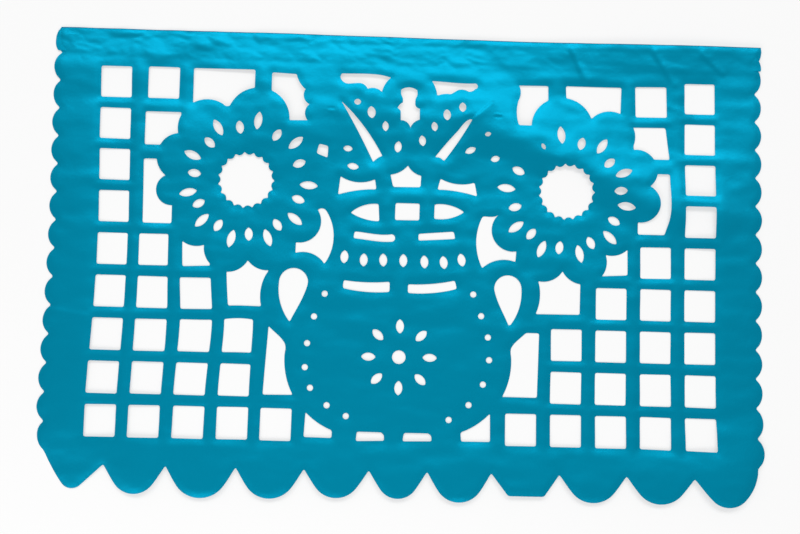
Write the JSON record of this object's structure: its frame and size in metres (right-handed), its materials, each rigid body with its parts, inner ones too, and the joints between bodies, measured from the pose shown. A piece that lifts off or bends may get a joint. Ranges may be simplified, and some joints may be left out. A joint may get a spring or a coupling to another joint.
{
  "type": "papel picado sheet",
  "caption": "Thin film panel with scalloped edges, cut through with flowers, a jug and a lattice of square windows; its top hem takes a string.",
  "frame": {"origin": "under the middle of the sheet's outline, on the surface it lies on", "axes": "+X along the folded edge, to the right as the front is seen; +Y towards the folded edge; +Z out of the front, up as the sheet lies"},
  "size_m": [0.458, 0.2976, 0.0012],
  "materials": {
    "film": "satin"
  },
  "bodies": {
    "root": {"papel_picado_sheet": "film"}
  },
  "joints": []
}
